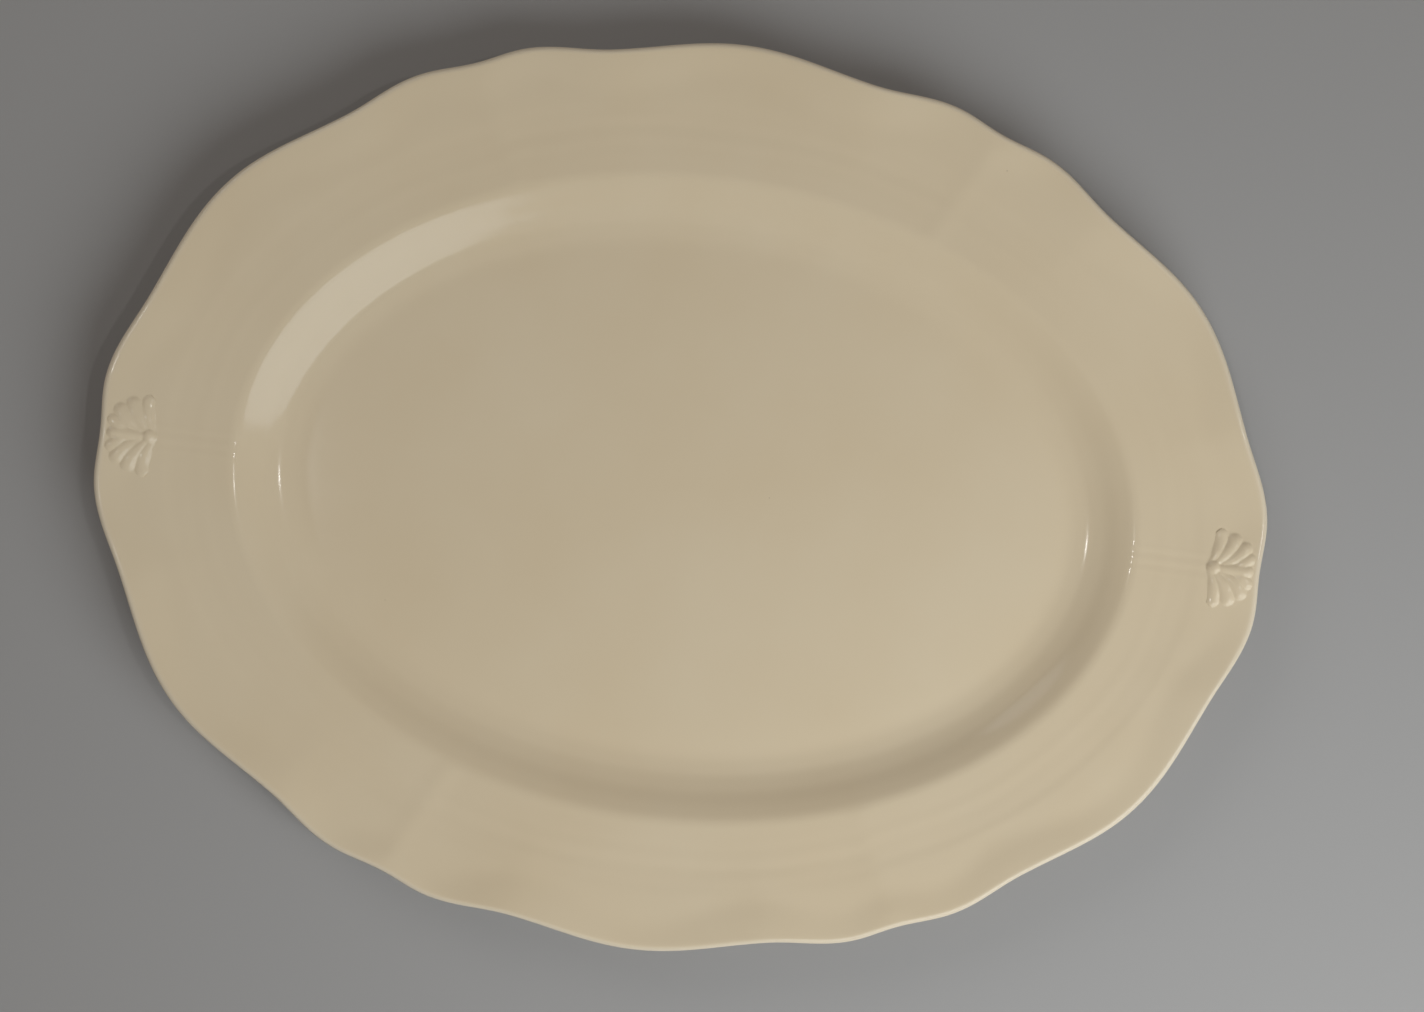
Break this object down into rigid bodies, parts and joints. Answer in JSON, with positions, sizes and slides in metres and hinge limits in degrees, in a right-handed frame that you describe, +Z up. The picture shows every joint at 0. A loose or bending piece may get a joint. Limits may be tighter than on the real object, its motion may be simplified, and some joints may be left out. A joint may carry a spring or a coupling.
{
  "type": "serving platter",
  "caption": "Large oval serving platter with a scalloped edge, broad rim, rounded well, raised shell relief at both ends and a bare foot ring underneath.",
  "frame": {"origin": "middle of the platter, on the plane that its foot ring stands on", "axes": "+X along the long axis to the right end, +Y across it, +Z up out of the well"},
  "size_m": [0.4064, 0.3164, 0.0249],
  "materials": {
    "biscuit_clay": "matte",
    "bare_foot": "matte",
    "ivory_glaze": "gloss"
  },
  "bodies": {
    "root": {"clay_body": "biscuit_clay", "foot_ring": "bare_foot", "left_end_shell": "ivory_glaze", "right_end_shell": "ivory_glaze", "face_glaze": "ivory_glaze", "back_glaze": "ivory_glaze", "base_glaze": "ivory_glaze"}
  },
  "joints": []
}
